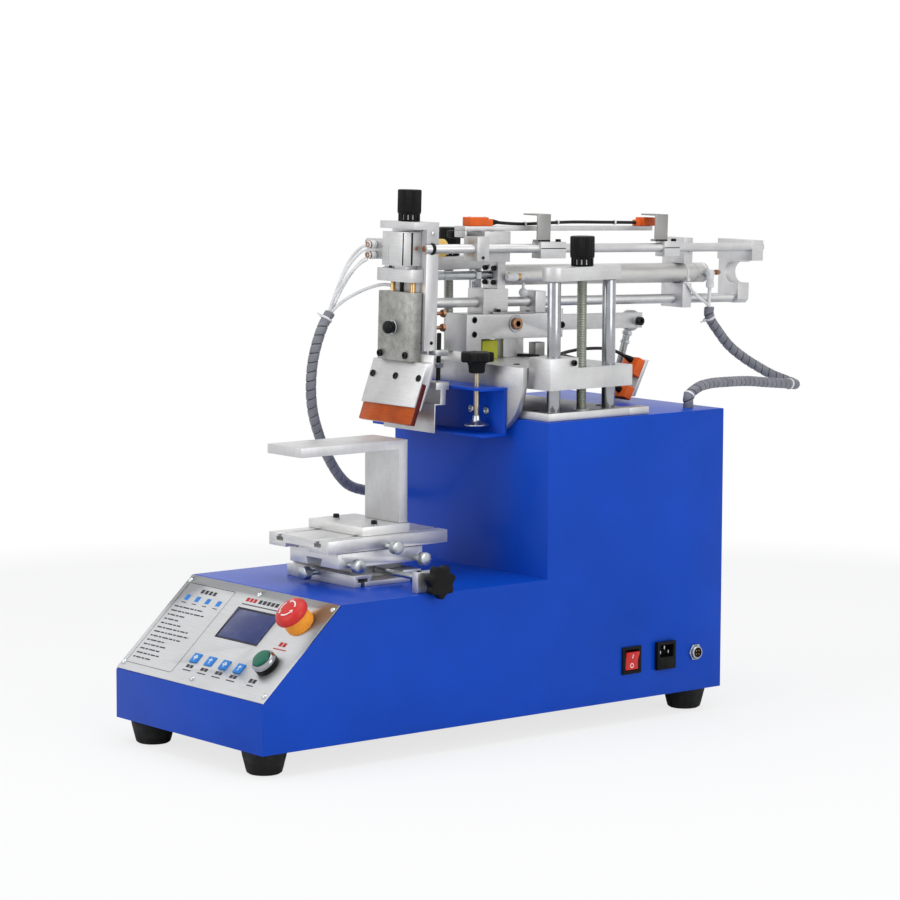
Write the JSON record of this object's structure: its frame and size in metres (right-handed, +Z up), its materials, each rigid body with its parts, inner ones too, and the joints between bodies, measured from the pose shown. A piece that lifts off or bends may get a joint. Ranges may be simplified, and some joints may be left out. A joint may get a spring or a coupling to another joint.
{
  "type": "screen printing machine",
  "caption": "Bench screen printing machine with a sloping control cabinet, an XY table with a fixture arm, and a tilting pneumatic print head with squeegee and flood bar.",
  "frame": {"origin": "on the bench, under the middle of the machine's bounding box without its hoses", "axes": "+Z up, +Y to the rear (the operator stands at -Y), +X to the operator's right"},
  "size_m": [0.3368, 0.9279, 0.6403],
  "materials": {
    "blue_paint": "glossy powder coat",
    "milled_aluminium": "milled, lightly brushed",
    "mottled_aluminium": "mottled grey, ground",
    "polished_steel": "ground and polished shafts",
    "zinc_screw": "zinc plated thread",
    "brushed_panel": "brushed sheet",
    "dark_steel": "dark ground steel",
    "black_plastic": "satin moulded",
    "black_rubber": "matt",
    "red_plastic": "gloss",
    "amber_plastic": "gloss",
    "green_plastic": "gloss",
    "blue_plastic": "gloss",
    "polyurethane": "translucent orange",
    "grey_plastic": "ribbed spiral wrap"
  },
  "bodies": {
    "cabinet": {"cabinet_shell": "blue_paint", "bottom_plate": "dark_steel", "foot_1": "black_rubber", "foot_2": "black_rubber", "foot_3": "black_rubber", "foot_4": "black_rubber", "control_panel": "brushed_panel", "emergency_stop_collar": "amber_plastic", "start_bezel": "polished_steel", "switch_frame": "black_plastic", "power_inlet": "black_plastic", "xy_base": "milled_aluminium", "x_screw_block": "milled_aluminium", "gantry_frame": "polished_steel", "front_hose": "grey_plastic", "rear_hose": "grey_plastic"},
    "key_1": {"panel_key_1": "blue_plastic"},
    "key_2": {"panel_key_2": "blue_plastic"},
    "key_3": {"panel_key_3": "blue_plastic"},
    "key_4": {"panel_key_4": "blue_plastic"},
    "stop_head": {"emergency_stop_head": "red_plastic"},
    "start_key": {"start_button": "green_plastic"},
    "rocker_key": {"switch_rocker": "red_plastic"},
    "slide_x": {"cross_slide": "dark_steel"},
    "x_screw": {"x_feed_knob": "black_plastic"},
    "slide_y": {"saddle": "milled_aluminium"},
    "y_screw": {"y_feed_knob": "black_plastic"},
    "work_table": {"t_slot_table": "milled_aluminium", "fixture_base": "milled_aluminium", "fixture_arm": "milled_aluminium"},
    "table_lock": {"table_thumbscrew": "zinc_screw"},
    "saddle_lock_1": {"saddle_thumbscrew_1": "zinc_screw"},
    "saddle_lock_2": {"saddle_thumbscrew_2": "zinc_screw"},
    "base_lock": {"base_thumbscrew": "zinc_screw"},
    "lift": {"lift_plate": "milled_aluminium", "apron_plate": "milled_aluminium", "screen_channel": "blue_paint", "pivot_upright": "milled_aluminium", "actuator_bracket": "milled_aluminium"},
    "lift_screw_left_body": {"lift_screw_left": "zinc_screw"},
    "lift_screw_right_body": {"lift_screw_right": "zinc_screw"},
    "clamp_left": {"screen_clamp_left": "black_plastic"},
    "clamp_right": {"screen_clamp_right": "black_plastic"},
    "rocker": {"rocker_beam": "milled_aluminium", "front_frame": "milled_aluminium", "rear_bearing": "milled_aluminium", "rear_frame": "milled_aluminium", "print_cylinder": "milled_aluminium", "sensor_rail": "milled_aluminium"},
    "carriage": {"head_plate": "milled_aluminium", "carriage_frame": "polished_steel", "piston_rod": "polished_steel", "squeegee_cylinder": "milled_aluminium"},
    "squeegee": {"squeegee_slide": "mottled_aluminium", "squeegee_clamp": "milled_aluminium", "squeegee_blade": "polyurethane"},
    "flood": {"flood_bar": "milled_aluminium"},
    "head_screw": {"head_knob": "black_plastic"},
    "actuator": {"actuator_body": "milled_aluminium"},
    "actuator_stem": {"actuator_rod": "polished_steel"}
  },
  "joints": [
    {"name": "key_1_press", "type": "slide", "parent": "cabinet", "child": "key_1", "axis": [0, 0.6759, -0.737], "range_m": [0, 0.0008], "stiffness_N_per_m": 400},
    {"name": "key_2_press", "type": "slide", "parent": "cabinet", "child": "key_2", "axis": [0, 0.6759, -0.737], "range_m": [0, 0.0008], "stiffness_N_per_m": 400},
    {"name": "key_3_press", "type": "slide", "parent": "cabinet", "child": "key_3", "axis": [0, 0.6759, -0.737], "range_m": [0, 0.0008], "stiffness_N_per_m": 400},
    {"name": "key_4_press", "type": "slide", "parent": "cabinet", "child": "key_4", "axis": [0, 0.6759, -0.737], "range_m": [0, 0.0008], "stiffness_N_per_m": 400},
    {"name": "emergency_stop_press", "type": "slide", "parent": "cabinet", "child": "stop_head", "axis": [0, 0.6759, -0.737], "range_m": [0, 0.004]},
    {"name": "start_press", "type": "slide", "parent": "cabinet", "child": "start_key", "axis": [0, 0.6759, -0.737], "range_m": [0, 0.003], "stiffness_N_per_m": 600},
    {"name": "power_switch", "type": "hinge", "parent": "cabinet", "child": "rocker_key", "pos_m": [0.135, 0.10042, 0.0764], "axis": [0, 1, 0], "range_deg": [-16, 0]},
    {"name": "x_slide", "type": "slide", "parent": "cabinet", "child": "slide_x", "axis": [1, 0, 0], "range_m": [-0.03, 0.03]},
    {"name": "x_feed_turn", "type": "hinge", "parent": "cabinet", "child": "x_screw", "pos_m": [0.1405, -0.20228, 0.2013], "axis": [1, 0, 0], "range_deg": [-2701, 2701]},
    {"name": "y_slide", "type": "slide", "parent": "slide_x", "child": "slide_y", "axis": [0, 1, 0], "range_m": [-0.018, 0.018]},
    {"name": "y_feed_turn", "type": "hinge", "parent": "slide_y", "child": "y_screw", "pos_m": [-0.004, -0.13428, 0.2129], "axis": [0, 1, 0], "range_deg": [-1621, 1621]},
    {"name": "table_slide", "type": "slide", "parent": "slide_y", "child": "work_table", "axis": [0, 1, 0], "range_m": [-0.01, 0.01]},
    {"name": "table_lock_turn", "type": "hinge", "parent": "work_table", "child": "table_lock", "pos_m": [0.0605, -0.20228, 0.2312], "axis": [1, 0, 0], "continuous": true},
    {"name": "saddle_lock_1_turn", "type": "hinge", "parent": "slide_y", "child": "saddle_lock_1", "pos_m": [0.0545, -0.25328, 0.2132], "axis": [1, 0, 0], "continuous": true},
    {"name": "saddle_lock_2_turn", "type": "hinge", "parent": "slide_y", "child": "saddle_lock_2", "pos_m": [0.0545, -0.15628, 0.2132], "axis": [1, 0, 0], "continuous": true},
    {"name": "base_lock_turn", "type": "hinge", "parent": "cabinet", "child": "base_lock", "pos_m": [-0.0215, -0.26628, 0.1972], "axis": [0, 1, 0], "continuous": true},
    {"name": "lift_slide", "type": "slide", "parent": "cabinet", "child": "lift", "axis": [0, 0, 1], "range_m": [0, 0.06]},
    {"name": "lift_screw_left_turn", "type": "hinge", "parent": "cabinet", "child": "lift_screw_left_body", "pos_m": [-0.1325, 0.03502, 0.56], "axis": [0, 0, 1], "range_deg": [0, 5401]},
    {"name": "lift_screw_right_turn", "type": "hinge", "parent": "cabinet", "child": "lift_screw_right_body", "pos_m": [0.1175, 0.03502, 0.56], "axis": [0, 0, 1], "range_deg": [0, 5401]},
    {"name": "screen_clamp_left_slide", "type": "slide", "parent": "lift", "child": "clamp_left", "axis": [0, 0, 1], "range_m": [-0.0077, 0.03]},
    {"name": "screen_clamp_right_slide", "type": "slide", "parent": "lift", "child": "clamp_right", "axis": [0, 0, 1], "range_m": [-0.0077, 0.03]},
    {"name": "rocker_tilt", "type": "hinge", "parent": "lift", "child": "rocker", "pos_m": [-0.0345, 0.04432, 0.4749], "axis": [1, 0, 0], "range_deg": [-4, 0], "deforming": ["rear_hose"]},
    {"name": "carriage_slide", "type": "slide", "parent": "rocker", "child": "carriage", "axis": [0, 0.9996, -0.0279], "range_m": [-0.07, 0]},
    {"name": "squeegee_stroke", "type": "slide", "parent": "carriage", "child": "squeegee", "axis": [0, 0.0279, 0.9996], "range_m": [-0.01, 0.003]},
    {"name": "flood_stroke", "type": "slide", "parent": "carriage", "child": "flood", "axis": [0, 0.0279, 0.9996], "range_m": [0, 0.01]},
    {"name": "head_knob_turn", "type": "hinge", "parent": "carriage", "child": "head_screw", "pos_m": [-0.0345, -0.10481, 0.61922], "axis": [0, 0.0279, 0.9996], "continuous": true},
    {"name": "actuator_swing", "type": "hinge", "parent": "lift", "child": "actuator", "pos_m": [-0.0345, 0.22759, 0.4017], "axis": [1, 0, 0], "range_deg": [-4, 4]},
    {"name": "actuator_extend", "type": "slide", "parent": "actuator", "child": "actuator_stem", "axis": [0, 0.309, 0.9511], "range_m": [-0.02, 0.003]}
  ],
  "couplings": [
    {"joint": "x_feed_turn", "follows": "x_slide", "rad_per_m": 1570.8},
    {"joint": "y_feed_turn", "follows": "y_slide", "rad_per_m": 1570.8},
    {"joint": "lift_screw_left_turn", "follows": "lift_slide", "rad_per_m": 1570.8},
    {"joint": "lift_screw_right_turn", "follows": "lift_slide", "rad_per_m": 1570.8},
    {"joint": "actuator_swing", "follows": "rocker_tilt", "ratio": 0.89149},
    {"joint": "actuator_extend", "follows": "rocker_tilt", "m_per_rad": 0.19718}
  ]
}
